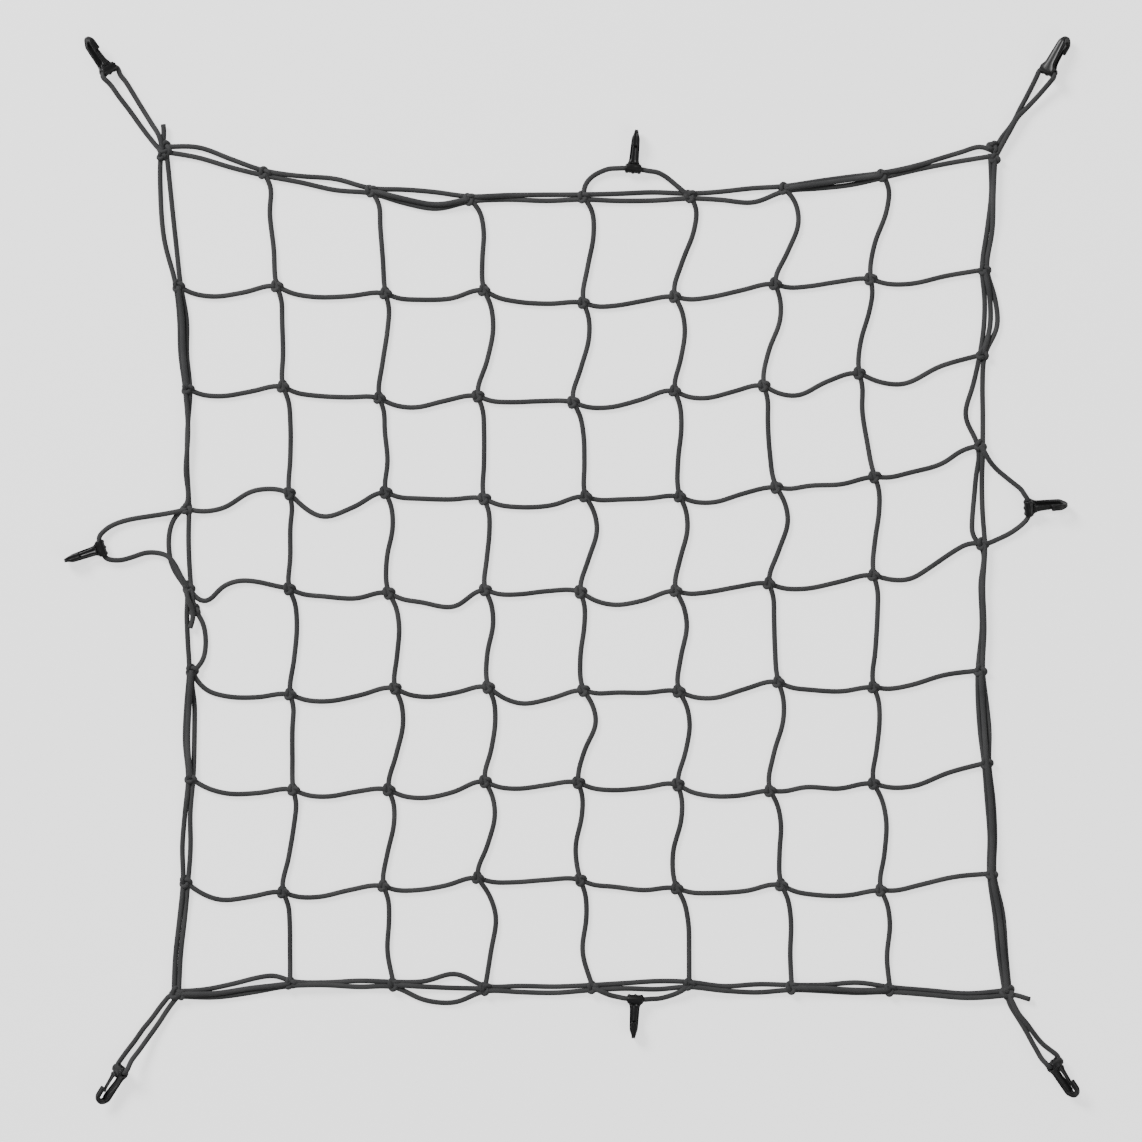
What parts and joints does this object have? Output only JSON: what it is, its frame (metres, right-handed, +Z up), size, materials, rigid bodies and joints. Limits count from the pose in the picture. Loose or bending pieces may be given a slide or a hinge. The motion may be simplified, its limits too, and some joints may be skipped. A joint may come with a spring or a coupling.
{
  "type": "cargo net",
  "caption": "Square elastic cargo net of knotted cord mesh with a doubled border cord, and plastic snap hooks on cord loops at its corners and sides.",
  "frame": {"origin": "centre of the net's outline, hooks included, on the surface that it lies on", "axes": "+X towards the right edge, +Y towards the far edge, +Z up out of the net"},
  "size_m": [0.9802, 1.0306, 0.0231],
  "materials": {
    "elastic_cord": "matt braided polyester sheath over elastic",
    "hook_plastic": "satin moulded nylon"
  },
  "bodies": {
    "net": {"border_cord_far": "elastic_cord", "border_cord_left": "elastic_cord", "border_cord_near": "elastic_cord", "border_cord_right": "elastic_cord", "cross_cord_1": "elastic_cord", "cross_cord_2": "elastic_cord", "cross_cord_3": "elastic_cord", "cross_cord_4": "elastic_cord", "cross_cord_5": "elastic_cord", "cross_cord_6": "elastic_cord", "cross_cord_7": "elastic_cord", "edge_cord_far": "elastic_cord", "edge_cord_left": "elastic_cord", "edge_cord_near": "elastic_cord", "edge_cord_right": "elastic_cord", "hook_cord_far": "elastic_cord", "hook_cord_far_left": "elastic_cord", "hook_cord_far_right": "elastic_cord", "hook_cord_left": "elastic_cord", "hook_cord_near": "elastic_cord", "hook_cord_near_left": "elastic_cord", "hook_cord_near_right": "elastic_cord", "hook_cord_right": "elastic_cord", "hook_far": "hook_plastic", "hook_far_left": "hook_plastic", "hook_far_right": "hook_plastic", "hook_left": "hook_plastic", "hook_near": "hook_plastic", "hook_near_left": "hook_plastic", "hook_near_right": "hook_plastic", "hook_right": "hook_plastic", "long_cord_1": "elastic_cord", "long_cord_2": "elastic_cord", "long_cord_3": "elastic_cord", "long_cord_4": "elastic_cord", "long_cord_5": "elastic_cord", "long_cord_6": "elastic_cord", "long_cord_7": "elastic_cord"},
    "gate_far": {"gate_far": "hook_plastic"},
    "gate_far_left": {"gate_far_left": "hook_plastic"},
    "gate_far_right": {"gate_far_right": "hook_plastic"},
    "gate_left": {"gate_left": "hook_plastic"},
    "gate_near": {"gate_near": "hook_plastic"},
    "gate_near_left": {"gate_near_left": "hook_plastic"},
    "gate_near_right": {"gate_near_right": "hook_plastic"},
    "gate_right": {"gate_right": "hook_plastic"}
  },
  "joints": [
    {"name": "far_gate", "type": "hinge", "parent": "net", "child": "gate_far", "pos_m": [0.06052, 0.39298, 0.0107], "axis": [-0.9962, 0.0872, 0], "range_deg": [0, 15], "stiffness_Nm_per_rad": 0.05},
    {"name": "near_gate", "type": "hinge", "parent": "net", "child": "gate_near", "pos_m": [0.06169, -0.41999, 0.0107], "axis": [0.9986, -0.0523, 0], "range_deg": [0, 15], "stiffness_Nm_per_rad": 0.05},
    {"name": "left_gate", "type": "hinge", "parent": "net", "child": "gate_left", "pos_m": [-0.45867, 0.01905, 0.0107], "axis": [0.3256, -0.9455, 0], "range_deg": [0, 15], "stiffness_Nm_per_rad": 0.05},
    {"name": "right_gate", "type": "hinge", "parent": "net", "child": "gate_right", "pos_m": [0.44715, 0.05888, 0.01299], "axis": [-0.0969, 0.9221, 0.3746], "range_deg": [0, 15], "stiffness_Nm_per_rad": 0.05},
    {"name": "far_left_gate", "type": "hinge", "parent": "net", "child": "gate_far_left", "pos_m": [-0.44774, 0.48815, 0.0133], "axis": [-0.7143, -0.519, 0.4695], "range_deg": [0, 15], "stiffness_Nm_per_rad": 0.05},
    {"name": "far_right_gate", "type": "hinge", "parent": "net", "child": "gate_far_right", "pos_m": [0.46544, 0.48485, 0.00607], "axis": [0.6892, -0.382, 0.6157], "range_deg": [0, 15], "stiffness_Nm_per_rad": 0.05},
    {"name": "near_left_gate", "type": "hinge", "parent": "net", "child": "gate_near_left", "pos_m": [-0.44031, -0.48521, 0.01443], "axis": [0.5159, -0.31, 0.7986], "range_deg": [0, 15], "stiffness_Nm_per_rad": 0.05},
    {"name": "near_right_gate", "type": "hinge", "parent": "net", "child": "gate_near_right", "pos_m": [0.47195, -0.47936, 0.0138], "axis": [0.61, 0.3812, -0.6947], "range_deg": [0, 15], "stiffness_Nm_per_rad": 0.05}
  ]
}
